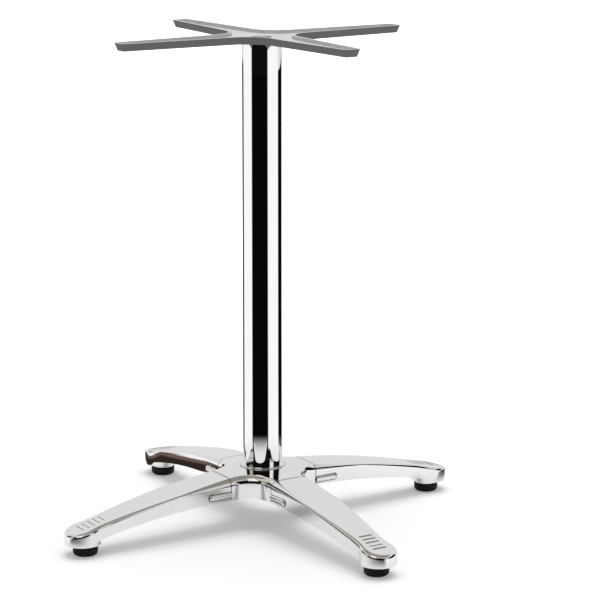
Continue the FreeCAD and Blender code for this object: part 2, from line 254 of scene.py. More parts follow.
def relief_group() -> NodeTree:
    """Build the group that gives a surface its fine relief.

    Returns:
        A group whose normal has broad waves and fine grain of given sizes and depths.
    """
    layout, given, result = group_with(
        "relief",
        {"Wave scale": 30.0, "Wave depth": 0.0, "Grain scale": 800.0, "Grain depth": 0.0},
        {"Normal": "NodeSocketVector"},
    )
    place = layout.add("ShaderNodeTexCoord").outputs["Object"]
    heights = []
    rows = (("Wave scale", "Wave depth", 1.0), ("Grain scale", "Grain depth", 6.0))
    for scale, depth, detail in rows:
        noise = layout.add("ShaderNodeTexNoise")
        noise.inputs["Detail"].default_value = detail
        layout.link(place, noise.inputs["Vector"])
        layout.link(given.outputs[scale], noise.inputs["Scale"])
        heights.append(layout.times(noise.outputs["Fac"], given.outputs[depth]))
    bump = layout.add("ShaderNodeBump")
    bump.inputs["Strength"].default_value = 1.0
    bump.inputs["Distance"].default_value = 1.0
    layout.link(layout.plus(*heights), bump.inputs["Height"])
    layout.link(bump.outputs["Normal"], result.inputs["Normal"])
    return layout.tree


# Finishes


@dataclass(frozen=True)
class Finish:
    """One surface finish, with tone, gloss and relief that vary as the real one's do.

    Depths and cloud sizes are in metres. A finish with a dark colour turns to it and grows duller
    where the piece's own attribute says so: dirt in the seams' joints, painted shade elsewhere.
    """

    slot: Slot
    light_tone: Colour
    dark_tone: Colour
    metallic: float
    smooth_roughness: float
    dull_roughness: float
    cloud_size: float
    fine_size: float
    wave_size: float = 0.03
    wave_depth: float = 0.0
    grain_size: float = 0.001
    grain_depth: float = 0.0
    shine: float = 0.5
    dirt_and_shade: Colour | None = None
    dirt_and_shade_dullness: float = 0.3

    def material(self, groups: dict[str, NodeTree]) -> bpy.types.Material:
        """Build the finish as a node material.

        Args:
            groups: the shared node groups by name.

        Returns:
            The material, named after its slot.
        """
        material = bpy.data.materials.new(self.slot.value)
        material.use_nodes = True
        layout = NodeLayout(material.node_tree)
        shader = material.node_tree.nodes["Principled BSDF"]
        shader.inputs["Metallic"].default_value = self.metallic
        shader.inputs["Specular IOR Level"].default_value = self.shine
        mottling = layout.add("ShaderNodeGroup", node_tree=groups["mottling"])
        mottling.inputs["Cloud scale"].default_value = 1 / self.cloud_size
        mottling.inputs["Fine scale"].default_value = 1 / self.fine_size
        tone = layout.colour(mottling.outputs["Tone mask"], self.dark_tone, self.light_tone)
        gloss = layout.add("ShaderNodeMapRange")
        gloss.inputs["From Min"].default_value = 0.3
        gloss.inputs["From Max"].default_value = 0.7
        gloss.inputs["To Min"].default_value = self.smooth_roughness
        gloss.inputs["To Max"].default_value = self.dull_roughness
        layout.link(mottling.outputs["Gloss mask"], gloss.inputs["Value"])
        roughness = gloss.outputs["Result"]
        # Darker and duller where the attribute says: dirt in seams' joints, painted shade in
        # corners, grooves and on sides.
        if self.dirt_and_shade is not None:
            corner = layout.add("ShaderNodeAttribute", attribute_name=DIRT_AND_SHADE).outputs["Fac"]
            tone = layout.colour(corner, tone, self.dirt_and_shade)
            roughness = layout.plus(roughness, layout.times(corner, self.dirt_and_shade_dullness))
        layout.link(tone, shader.inputs["Base Color"])
        layout.link(roughness, shader.inputs["Roughness"])
        relief = layout.add("ShaderNodeGroup", node_tree=groups["relief"])
        relief.inputs["Wave scale"].default_value = 1 / self.wave_size
        relief.inputs["Wave depth"].default_value = self.wave_depth
        relief.inputs["Grain scale"].default_value = 1 / self.grain_size
        relief.inputs["Grain depth"].default_value = self.grain_depth
        layout.link(relief.outputs["Normal"], shader.inputs["Normal"])
        return material


FINISHES = (
    # Polished aluminium; its dark colour is joint dirt in the seams and painted shade in corners
    # and grooves.
    Finish(
        Slot.POLISHED, (0.93, 0.93, 0.935), (0.88, 0.88, 0.89), 1.0, 0.015, 0.05,
        cloud_size=0.05, fine_size=0.004, wave_size=0.03, wave_depth=0.00003,
        grain_size=0.0008, grain_depth=0.0000003, dirt_and_shade=(0.03, 0.028, 0.026),
    ),
    Finish(
        Slot.CHROME, (0.95, 0.95, 0.955), (0.92, 0.92, 0.93), 1.0, 0.01, 0.03,
        cloud_size=0.08, fine_size=0.006,
    ),
    # Cast aluminium; its dark colour is painted shade on the cross plate's sides and trough walls.
    Finish(
        Slot.CAST, (0.74, 0.74, 0.745), (0.54, 0.54, 0.55), 0.3, 0.42, 0.62,
        cloud_size=0.02, fine_size=0.002, wave_size=0.006, wave_depth=0.0002,
        grain_size=0.0012, grain_depth=0.0001, dirt_and_shade=(0.21, 0.21, 0.215),
    ),
    Finish(
        Slot.ZINC, (0.66, 0.67, 0.68), (0.52, 0.53, 0.55), 1.0, 0.22, 0.38,
        cloud_size=0.006, fine_size=0.001, grain_size=0.0006, grain_depth=0.000006,
    ),
    Finish(
        Slot.FOOT, (0.006, 0.006, 0.006), (0.003, 0.003, 0.003), 0.0, 0.45, 0.6,
        cloud_size=0.008, fine_size=0.001, grain_size=0.0007, grain_depth=0.00001, shine=0.2,
    ),
)


@dataclass
class Palette:
    """The finished materials by slot."""

    materials: dict[Slot, bpy.types.Material] = field(default_factory=dict)

    def mix(self) -> None:
        """Build the node groups and every finish."""
        groups = {"mottling": mottling_group(), "relief": relief_group()}
        for finish in FINISHES:
            self.materials[finish.slot] = finish.material(groups)

    def dress(self, piece: bpy.types.Object, slot: Slot) -> None:
        """Give a piece or a node of the frame one finish."""
        piece.data.materials.clear()
        piece.data.materials.append(self.materials[slot])

    def dress_frame(self) -> None:
        """Give each node of the frame the finish that the record names for it."""
        for part in frame["record"]["subparts"]:
            self.dress(frame["nodes"][part["node"]], Slot(part["material_slot"]))


# Shaping helpers. Pieces are drawn in millimetres and scaled to metres when they are finished.


@dataclass(frozen=True)
class Camber:
    """Circle arc from one reach and height to another, bowed upwards in the middle."""

    start: tuple[float, float]
    end: tuple[float, float]
    rise: float

    def circle(self) -> tuple[float, float, float]:
        """Find the arc's circle.

        Returns:
            The radius, and the reach and height of the centre.
        """
        half_run = (self.end[0] - self.start[0]) / 2
        half_climb = (self.end[1] - self.start[1]) / 2
        half_chord = math.hypot(half_run, half_climb)
        radius = (half_chord**2 + self.rise**2) / (2 * self.rise)
        to_centre = (radius - self.rise) / half_chord
        reach = self.start[0] + half_run + half_climb * to_centre
        height = self.start[1] + half_climb - half_run * to_centre
        return radius, reach, height

    def height(self, reach: float) -> float:
        """Height of the arc at a reach."""
        radius, centre_reach, centre_height = self.circle()
        return centre_height + math.sqrt(radius**2 - (reach - centre_reach) ** 2)

    def slope(self, reach: float) -> float:
        """Climb of the arc per unit of reach."""
        radius, centre_reach, _ = self.circle()
        away = reach - centre_reach
        return -away / math.sqrt(radius**2 - away**2)


DECK = Camber((32.0, 86.2), (326.0, 33.7), 6.2)
UNDERSIDE = Camber((73.0, 50.4), (300.0, 19.4), 7.8)
LEG_SIDE = Camber((73.0, 31.5), (262.0, 23.2), 1.3)


def on_deck(x: float, y: float) -> Vector:
    """Point of the deck above x and y."""
    return Vector((x, y, DECK.height(math.hypot(x, y))))


def deck_normal(x: float, y: float) -> Vector:
    """Upward normal of the deck above x and y."""
    reach = math.hypot(x, y)
    slope = DECK.slope(reach)
    return Vector((-slope * x / reach, -slope * y / reach, 1.0)).normalized()


def shoulder_arc(
    edge: Vector, outward: Vector, radius: float, steps: int, square: float
) -> list[Vector]:
    """Round a shoulder between an upright wall and the deck, as a ball that touches both would.

    Args:
        edge: point of the wall, its height unused.
        outward: level unit normal of the wall.
        radius: the shoulder's radius.
        steps: number of steps from the wall to the deck.
        square: 0 where the arc leans with the deck, 1 where it stays square to the wall's line.

    Returns:
        Places from the wall to the deck.
    """
    along = Vector((-outward.y, outward.x, 0))
    middle = edge - outward * radius
    arc = []
    for step in range(steps + 1):
        normal = outward.slerp(deck_normal(middle.x, middle.y), step / steps)
        centre = middle - along * normal.dot(along) * radius * square
        up = deck_normal(centre.x, centre.y)
        centre.z = DECK.height(math.hypot(centre.x, centre.y)) - radius / up.z
        arc.append(centre + normal * radius)
    return arc


def smooth_greater(one: float, other: float, soft: float) -> float:
    """The greater of two numbers, with a rounded change from one to the other."""
    share = min(max(0.5 + 0.5 * (one - other) / soft, 0.0), 1.0)
    return other + (one - other) * share + soft * share * (1 - share)


def sweep(shape: Shape, rows: Sequence[Sequence[Vector]]) -> None:
    """Trace the first row by extruding one vertex, then extrude that line through the other rows.

    Args:
        shape: the mesh to add to.
        rows: places of the line's vertices, the same number in each row.
    """
    mark = shape.verts.layers.int.get("station") or shape.verts.layers.int.new("station")
    tip = bmesh.ops.create_vert(shape, co=rows[0][0])["vert"][0]
    line = []
    for number, spot in enumerate(rows[0][1:], 1):
        made = bmesh.ops.extrude_vert_indiv(shape, verts=[tip])
        tip = made["verts"][0]
        tip.co = spot
        tip[mark] = number
        line += made["edges"]
    for row in rows[1:]:
        made = bmesh.ops.extrude_edge_only(shape, edges=line)["geom"]
        line = [piece for piece in made if isinstance(piece, Edge)]
        for vertex in (piece for piece in made if isinstance(piece, Corner)):
            vertex.co = row[vertex[mark]]


def put_in_order(shape: Shape) -> None:
    """Give a shape's vertices, edges and faces an order that is the same in every run."""
    steady = sorted(shape.verts, key=lambda vertex: tuple(vertex.co))
    for rank, vertex in enumerate(steady):
        vertex.index = rank
    shape.verts.sort()
    for parts in (shape.edges, shape.faces):
        steady = sorted(parts, key=lambda part: sorted(tuple(end.co) for end in part.verts))
        for rank, part in enumerate(steady):
            part.index = rank
        parts.sort()


def spun(outline: Sequence[tuple[float, float]], x: float, steps: int, ring: bool = False) -> Shape:
    """Spin an outline of (radius, height) corners once around an upright axis.

    Args:
        outline: the corners, from the axis to the axis, or round a ring's section.
        x: reach of the axis.
        steps: number of steps around.
        ring: whether the outline closes on itself away from the axis.

    Returns:
        The closed shape.
    """
    shape = bmesh.new()
    tip = bmesh.ops.create_vert(shape, co=(x + outline[0][0], 0, outline[0][1]))["vert"][0]
    first = tip
    for radius, height in outline[1:]:
        tip = bmesh.ops.extrude_vert_indiv(shape, verts=[tip])["verts"][0]
        tip.co = (x + radius, 0, height)
    if ring:
        bmesh.ops.contextual_create(shape, geom=[tip, first])
    bmesh.ops.spin(
        shape, geom=shape.verts[:] + shape.edges[:], cent=(x, 0, 0), axis=(0, 0, 1),
        angle=math.tau, steps=steps, use_merge=True, use_duplicate=False,
    )
    bmesh.ops.remove_doubles(shape, verts=shape.verts, dist=SAME_SPOT / 2)
    bmesh.ops.dissolve_degenerate(shape, edges=shape.edges, dist=SLIVER)
    bmesh.ops.recalc_face_normals(shape, faces=shape.faces)
    put_in_order(shape)
    return shape


def rounded_corner(
    centre: tuple[float, float], radius: float, start: float, end: float, steps: int
) -> list[tuple[float, float]]:
    """Corners of an arc in a spun outline, its angles in degrees from outwards to up."""
    angles = [math.radians(start + (end - start) * step / steps) for step in range(steps + 1)]
    return [(centre[0] + radius * math.cos(a), centre[1] + radius * math.sin(a)) for a in angles]


def merged_node(node: str) -> Shape:
    """Copy a node's mesh in millimetres and join its loose triangles."""
    shape = bmesh.new()
    shape.from_mesh(frame["nodes"][node].data)
    bmesh.ops.scale(shape, vec=(1 / MM,) * 3, verts=shape.verts)
    bmesh.ops.remove_doubles(shape, verts=shape.verts, dist=SAME_SPOT)
    return shape


def open_edges(shape: Shape) -> list[Edge]:
    """Edges that have a face on one side only."""
    return [edge for edge in shape.edges if edge.is_boundary]


def in_order(edges: Iterable[Edge]) -> list[Corner]:
    """Vertices of some edges, in an order that is the same in every run."""
    corners = {vertex for edge in edges for vertex in edge.verts}
    return sorted(corners, key=lambda vertex: tuple(vertex.co))


def nearest_on(edges: Iterable[Edge], spot: Vector) -> tuple[float, Edge, float]:
    """Find the edge nearest to a spot.

    Returns:
        The distance, the edge, and how far along it the nearest point is, from 0 to 1.
    """
    best = (math.inf, None, 0.0)
    for edge in edges:
        start, end = edge.verts[0].co, edge.verts[1].co
        along = end - start
        share = min(max((spot - start).dot(along) / max(along.length_squared, 1e-12), 0.0), 1.0)
        distance = (start + along * share - spot).length
        if distance < best[0]:
            best = (distance, edge, share)
    return best


def set_into(edges: list[Edge], spots: Iterable[Corner]) -> None:
    """Give one open line a vertex wherever the line that it should meet has one.

    Args:
        edges: the open line's edges.
        spots: the other line's vertices.
    """
    waiting: dict[Edge, list[tuple[float, Vector]]] = {}
    for vertex in spots:
        distance, edge, share = nearest_on(edges, vertex.co)
        if distance > ZIP_REACH:
            continue
        ends = sorted(edge.verts, key=lambda end: (end.co - vertex.co).length)
        if (ends[0].co - vertex.co).length < ZIP_GAP:
            continue
        waiting.setdefault(edge, []).append((share, vertex.co.copy()))
    for edge, places in waiting.items():
        rest, start, done = edge, edge.verts[0], 0.0
        for share, place in sorted(places, key=lambda row: row[0]):
            step = (share - done) / max(1 - done, 1e-9)
            rest, made = bmesh.utils.edge_split(rest, start, min(max(step, 1e-6), 1 - 1e-6))
            made.co = place
            others = [near for near in made.link_edges if near.other_vert(made) is not start]
            start, done = made, share
            rest = next(near for near in others if near.is_boundary)


def zip_up(shape: Shape, outer: set[int]) -> int:
    """Join the open line of the outer faces to the open line of the inside that it lies on.

    Args:
        shape: mesh with both.
        outer: indices of the outer vertices.

    Returns:
        The number of edges that are still open.
    """
    border = open_edges(shape)
    outside = [edge for edge in border if edge.verts[0].index in outer]
    inside = [edge for edge in border if edge.verts[0].index not in outer]
    outside_spots, inside_spots = in_order(outside), in_order(inside)
    set_into(inside, outside_spots)
    set_into(outside, inside_spots)
    border = in_order(open_edges(shape))
    bmesh.ops.remove_doubles(shape, verts=border, dist=ZIP_GAP + SAME_SPOT)
    bmesh.ops.dissolve_degenerate(shape, edges=shape.edges, dist=SLIVER)
    put_in_order(shape)
    bmesh.ops.holes_fill(shape, edges=open_edges(shape), sides=0)
    bmesh.ops.triangle_fill(shape, edges=open_edges(shape), use_beauty=True)
    return len(open_edges(shape))


def with_inside(
    outer: Shape,
    node: str,
    is_outer: Callable[[Vector], bool | None],
    cut_at: float | None = None,
) -> None:
    """Close a casting's fine outer faces with the inside of the node's own mesh.

    Args:
        outer: the outer faces, which become the closed shape.
        node: the node that has the inside.
        is_outer: whether a face with this centre belongs to the outside, or None where that is
            told by the outer face that it lies on.
        cut_at: reach at which faces that run from the outside to the inside are cut.
    """
    inside = merged_node(node)
    put_in_order(inside)
    if cut_at is not None:
        everything = inside.verts[:] + inside.edges[:] + inside.faces[:]
        bmesh.ops.bisect_plane(
            inside, geom=everything, plane_co=(cut_at, 0, 0), plane_no=(1, 0, 0), dist=SAME_SPOT
        )
    inside.normal_update()
    outer.normal_update()
    skin = BVHTree.FromBMesh(outer)
    going = []
    for face in inside.faces:
        centre = face.calc_center_median()
        known = is_outer(centre)
        if known is None:
            _, normal, _, distance = skin.find_nearest(centre)
            known = distance < SKIN_GAP and abs(normal.dot(face.normal)) > SKIN_LIKENESS
        if known:
            going.append(face)
    bmesh.ops.delete(inside, geom=going, context="FACES")
    mesh = bpy.data.meshes.new("inside")
    inside.to_mesh(mesh)
    inside.free()
    outer.verts.index_update()
    count = len(outer.verts)
    outer.from_mesh(mesh)
    bpy.data.meshes.remove(mesh)
    outer.verts.index_update()
    left = zip_up(outer, set(range(count)))
    bmesh.ops.recalc_face_normals(outer, faces=outer.faces)
    log.info("%s: %d open edges after joining the inside", node, left)


def dirt_and_shade_layer(shape: Shape) -> bmesh.types.BMLayerItem:
    """Layer of a casting that says where it is dull and dark: joint dirt at seams, painted shade
    elsewhere.

    A new layer makes vertex references invalid, so it is asked for before any are kept.
    """
    return shape.verts.layers.float.get(DIRT_AND_SHADE) or shape.verts.layers.float.new(DIRT_AND_SHADE)


def draw_in_seam(shape: Shape, line: Sequence[Vector], reach: float, depth: float) -> None:
    """Draw in the edge that a casting shows along a seam, so that the joint reads as a fine line.

    Args:
        shape: the casting, with the seam in the plane across its reach.
        line: places along the seam on the +Y side, from the lower edge up to the middle line.
        reach: the seam's reach.
        depth: how far the edge is drawn in.
    """
    corner = dirt_and_shade_layer(shape)
    moves = {}
    for vertex in shape.verts:
        if abs(vertex.co.x - reach) > depth + ON_PLANE:
            continue
        place = Vector((reach, abs(vertex.co.y), vertex.co.z))
        near = min(range(len(line)), key=lambda number: (line[number] - place).length_squared)
        start, end = line[max(near - 1, 0)], line[min(near + 1, len(line) - 1)]
        along = (end - start).normalized()
        away = place - line[near]
        if (away - along * away.dot(along)).length > OFF_LINE or away.length > SEAM_SPACING:
            continue
        vertex[corner] = SOFT_DIRT_AND_SHADE
        if abs(vertex.co.x - reach) > ON_SEAM:
            continue
        side = math.copysign(1.0, vertex.co.y) if abs(vertex.co.y) > SAME_SPOT else 0.0
        moves[vertex] = Vector((0, along.z * side, -along.y)) * -depth
    for vertex, move in moves.items():
        vertex.co += move
        vertex[corner] = 1.0


# Pieces


def placed(
    shape: Shape, name: str, body: str, slot: Slot, node: str, palette: Palette
) -> None:
    """Make a finished piece of a shape drawn in millimetres.

    Args:
        shape: the shape, which is used up.
        name: the piece's name.
        body: the body that it rides on.
        slot: its material slot in the record.
        node: the node that it stands for.
        palette: the finished materials.
    """
    bmesh.ops.scale(shape, vec=(MM,) * 3, verts=shape.verts)
    shape.normal_update()
    for face in shape.faces:
        face.smooth = True
    for edge in shape.edges:
        edge.smooth = not edge.is_manifold or edge.calc_face_angle(0.0) < SHARP_EDGE
    mesh = bpy.data.meshes.new(name)
    shape.to_mesh(mesh)
    shape.free()
    piece = bpy.data.objects.new(name, mesh)
    palette.dress(piece, slot)
    bpy.context.scene.collection.objects.link(piece)
    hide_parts(node)
    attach(piece, body)
    log.info("%s: %d faces on %s, for %s", name, len(mesh.polygons), body, node)


def turned_copy(shape: Shape, turn: float) -> Shape:
    """Copy a shape made on +X to the place of one of the legs."""
    copy = shape.copy()
    bmesh.ops.rotate(copy, verts=copy.verts, matrix=Matrix.Rotation(math.radians(turn), 3, "Z"))
    return copy


@dataclass
class Legs:
    """Four polished leg castings: fine outer faces over the hollow side of the node's own mesh."""

    seam: float = 73.0
    neck: float = 262.0
    toe_reach: float = 300.0
    toe_radius: float = 26.0
    toe_start: float = 105.0
    toe_bottom: float = 17.0
    tip_foot: float = 314.0
    waist: float = 158.0
    shoulders: tuple[float, float, float] = (10.5, 2.6, 6.5)
    groove_first: float = 269.0
    groove_pitch: float = 8.6
    groove_count: int = 5
    groove_half_length: float = 11.0
    groove_width: float = 2.6
    groove_depth: float = 0.5
    groove_end: float = 0.04
    # Painted shade in the grooves' bottoms: its share, and the half width and the depths that it
    # spans.
    groove_shade: float = 0.8
    groove_shade_span: tuple[float, float, float] = (0.8, 0.1, 1.0)
    swell_radius: float = 5.2
    swell_proud: float = 2.6
    swell_end: float = 105.8
    swell_drop: float = 23.0
    swell_flank: float = 2.0
    swell_soft: tuple[float, float, float] = (0.02, 0.08, 6.0)
    # Widths of the painted shade line around the swelling: thin along its upper side, wide below
    # and at its end.
    swell_line: tuple[float, float] = (0.5, 1.0)
    past_swell: float = 118.0
    leaning: tuple[float, float] = (6.0, 12.0)
    seam_depth: float = 0.4
    wall_steps: int = 40
    shoulder_steps: int = 8
    fan_steps: int = 26
    fine_cuts: tuple[float, float, int] = (74.0, 0.5, 80)
    coarse_cuts: tuple[float, float, int] = (115.0, 3.0, 51)
    groove_cuts: tuple[float, ...] = (-3.0, -1.7, -1.35, -1.1, -0.7, 0.0, 0.7, 1.1, 1.35, 1.7, 3.0)
    toe_step: float = 0.03

    def toe_spot(self, angle: float) -> tuple[Vector, Vector]:
        """Place and outward normal of the round toe at an angle in degrees from the tip."""
        outward = Vector((math.cos(math.radians(angle)), math.sin(math.radians(angle)), 0))
        return Vector((self.toe_reach, 0, 0)) + outward * self.toe_radius, outward

    def blend_spot(self, share: float) -> tuple[Vector, Vector]:
        """Place and outward normal on the curve between the straight side and the toe."""
        start = Vector((self.neck, LEG_SIDE.height(self.neck), 0))
        end, end_outward = self.toe_spot(self.toe_start)
        chord = (end - start).length
        leaving = Vector((1, LEG_SIDE.slope(self.neck), 0)).normalized() * chord
        arriving = Vector((end_outward.y, -end_outward.x, 0)) * chord
        s, s2, s3 = share, share**2, share**3
        place = (
            start * (2 * s3 - 3 * s2 + 1) + leaving * (s3 - 2 * s2 + s)
            + end * (3 * s2 - 2 * s3) + arriving * (s3 - s2)
        )
        along = (start - end) * (6 * s2 - 6 * s) + leaving * (3 * s2 - 4 * s + 1)
        along += arriving * (3 * s2 - 2 * s)
        return place, Vector((-along.y, along.x, 0)).normalized()

    def side_spot(self, x: float) -> tuple[Vector, Vector]:
        """Place and outward normal of the outline at a reach."""
        if x <= self.neck:
            outward = Vector((-LEG_SIDE.slope(x), 1, 0)).normalized()
            return Vector((x, LEG_SIDE.height(x), 0)), outward
        if x > self.toe_spot(self.toe_start)[0].x:
            return self.toe_spot(math.degrees(math.acos((x - self.toe_reach) / self.toe_radius)))
        low, high = 0.0, 1.0
        for _ in range(40):
            middle = (low + high) / 2
            if self.blend_spot(middle)[0].x < x:
                low = middle
            else:
                high = middle
        return self.blend_spot(high)

    def reaches(self) -> list[float]:
        """Reaches of the cuts across the leg, closest at the swelling and the grooves."""
        toe_begins = self.toe_spot(self.toe_start)[0].x
        spots = []
        for start, spacing, count in (self.fine_cuts, self.coarse_cuts):
            spots += [start + spacing * step for step in range(count)]
        for groove in range(self.groove_count):
            middle = self.groove_first + groove * self.groove_pitch
            spots += [middle + away for away in self.groove_cuts]
        spots = [spot for spot in spots if abs(spot - toe_begins) > 0.2]
        ends = [self.seam, self.seam + self.seam_depth]
        return sorted(ends + spots + [toe_begins, toe_begins + self.toe_step])

    def cuts(self) -> list[tuple[Vector, Vector, float]]:
        """Cuts across one half of the leg, from the seam to the tip.

        Returns:
            Each cut's place on the outline, its outward normal, and the reach of its foot on the
            middle line.
        """
        rows = [(*self.side_spot(x), x) for x in self.reaches()]
        rows[0] = (rows[0][0], Vector((0, 1, 0)), self.seam)
        last = rows[-1][2]
        begin = math.degrees(math.acos((last - self.toe_reach) / self.toe_radius))
        for step in range(1, self.fan_steps + 1):
            share = step / self.fan_steps
            foot = last + (self.tip_foot - last) * share
            rows.append((*self.toe_spot(begin * (1 - share)), foot))
        return rows

    def shoulder_radii(self, edges: Sequence[Vector]) -> list[float]:
        """Radii of the shoulder, which narrows to the waist and grows to the toe."""
        lengths = [0.0]
        tops = [on_deck(edge.x, edge.y) for edge in edges]
        for start, end in zip(tops, tops[1:]):
            lengths.append(lengths[-1] + (end - start).length)
        middle = max(length for length, edge in zip(lengths, edges) if edge.x <= self.waist)
        root, waist, toe = self.shoulders
        return [
            root + (waist - root) * length / middle if length <= middle
            else waist + (toe - waist) * (length - middle) / (lengths[-1] - middle)
            for length in lengths
        ]

    def swollen(self, x: float, y: float, z: float) -> float:
        """Distance of the wall from the middle line, with the swelling beside the leg screw."""
        beyond = max(0.0, x - self.swell_end)
        away = math.hypot(beyond, z - DECK.height(self.seam) + self.swell_drop)
        middle = LEG_SIDE.start[1] + self.swell_proud - self.swell_radius
        if away < self.swell_radius:
            swell = middle + math.sqrt(self.swell_radius**2 - away**2)
        else:
            swell = middle - self.swell_flank * (away - self.swell_radius)
        least, growth, run = self.swell_soft
        return smooth_greater(swell, y, least + growth * min(x - self.seam, run))

    def shade_around_swell(self, place: Vector) -> float:
        """Share of painted shade in the corner around the swelling, most below it and at its end.
        """
        middle = LEG_SIDE.start[1] + self.swell_proud - self.swell_radius
        if place.x > self.swell_end + self.swell_radius + 2 or abs(place.y) < middle:
            return 0.0
        wall = LEG_SIDE.height(max(place.x, self.seam)) - middle
        corner = math.sqrt(self.swell_radius**2 - wall**2)
        beyond = max(0.0, place.x - self.swell_end)
        above = place.z - DECK.height(self.seam) + self.swell_drop
        away = math.hypot(beyond, above)
        thin, wide = self.swell_line
        width = thin if above > 0.3 * corner and beyond == 0 else wide
        return max(0.0, 1 - (abs(away - corner) / width) ** 2)

    def groove_bottom_shade(self, place: Vector) -> float:
        """Share of painted shade in the bottoms of the grip grooves."""
        first = (place.x - self.groove_first) / self.groove_pitch
        groove = min(max(round(first), 0), self.groove_count - 1)
        away = abs(place.x - self.groove_first - groove * self.groove_pitch)
        below = DECK.height(math.hypot(place.x, place.y)) - place.z
        half, high, low = self.groove_shade_span
        within = away < half and high < below < low and abs(place.y) < self.groove_half_length
        return self.groove_shade if within else 0.0

    def grooved(self, x: float, y: float) -> Vector:
        """Point of the deck, or of a grip groove in it."""
        place = on_deck(x, y)
        radius = (self.groove_width**2 / 4 + self.groove_depth**2) / (2 * self.groove_depth)
        for groove in range(self.groove_count):
            middle = self.groove_first + groove * self.groove_pitch
            if y < self.groove_half_length and abs(x - middle) < self.groove_width / 2 + 0.2:
                axis = DECK.height(middle) + radius - self.groove_depth
                place.z = min(place.z, axis - math.sqrt(radius**2 - (x - middle) ** 2))
        return place

    def half_rows(self) -> list[list[Vector]]:
        """Rows of places from the lower edge up the wall, over the shoulder and across the deck."""
        cuts = self.cuts()
        radii = self.shoulder_radii([edge for edge, _, _ in cuts])
        toe_begins = self.toe_spot(self.toe_start)[0].x
        straight = max(self.reaches())
        half, margin = self.groove_half_length, self.groove_end
        inner, outer = half - margin, half + margin
        columns: list[list[Vector]] = []
        shares: list[float] = []
        for (edge, outward, foot), radius in zip(cuts, radii):
            square = 1 - (edge.x - self.seam - self.leaning[0]) / self.leaning[1]
            square = min(max(square, 0.0), 1.0)
            arc = shoulder_arc(edge, outward, radius, self.shoulder_steps, square)
            bottom = self.toe_bottom if edge.x > toe_begins + 0.01 else UNDERSIDE.height(edge.x)
            column = []
            for step in range(self.wall_steps):
                z = bottom + (arc[0].z - bottom) * step / self.wall_steps
                y = self.swollen(edge.x, edge.y, z) if edge.x < self.past_swell else edge.y
                column.append(Vector((edge.x, y, z)))
            column += arc
            contact = arc[-1]
            if foot <= straight:
                ys = [contact.y + (outer - contact.y) * step / 4 for step in range(1, 5)]
                ys += [inner * (1 - step / 5) for step in range(6)]
                shares = [y / contact.y for y in ys]
            for number, share in enumerate(shares, 1):
                x = contact.x + (foot - contact.x) * min(number / 4, 1.0)
                column.append(self.grooved(x, share * contact.y))
            columns.append(column)
        return [list(row) for row in zip(*columns)]

    def shape(self) -> Shape:
        """Make the closed leg on +X."""
        rows = self.half_rows()
        shape = bmesh.new()
        sweep(shape, rows)
        everything = shape.verts[:] + shape.edges[:] + shape.faces[:]
        bmesh.ops.mirror(shape, geom=everything, axis="Y", merge_dist=SAME_SPOT)
        bmesh.ops.remove_doubles(shape, verts=shape.verts, dist=NEAR_SPOT)
        bmesh.ops.dissolve_degenerate(shape, edges=shape.edges, dist=SAME_SPOT / 2)
        cut_at = self.toe_spot(self.toe_start)[0].x

        def is_outer(centre: Vector) -> bool | None:
            """Tell a face of the deck, the waist's step or the toe's stand by its centre."""
            deck = DECK.height(math.hypot(centre.x, centre.y)) - DECK_SKIN
            side = LEG_SIDE.height(self.waist) - 1.5
            if abs(centre.x - self.waist) < ON_PLANE and abs(centre.y) > side:
                return True
            if centre.x > self.seam + ON_PLANE and centre.z > deck:
                return True
            if centre.x < cut_at and centre.z < UNDERSIDE.height(max(centre.x, self.seam)) - 0.02:
                return False
            return None

        with_inside(shape, "leg_1", is_outer, cut_at)
        # Painted shade around the swelling's foot and in the grip grooves' bottoms.
        corner = dirt_and_shade_layer(shape)
        for vertex in shape.verts:
            vertex[corner] = max(self.shade_around_swell(vertex.co), self.groove_bottom_shade(vertex.co))
        draw_in_seam(shape, [row[0] for row in rows], self.seam, self.seam_depth)
        return shape

    def build(self, palette: Palette) -> None:
        """Build the four legs."""
        shape = self.shape()
        for number, turn in enumerate(LEG_TURNS, 1):
            copy = turned_copy(shape, turn)
            placed(copy, f"polished_leg_{number}", BODY, Slot.POLISHED, f"leg_{number}", palette)
        shape.free()


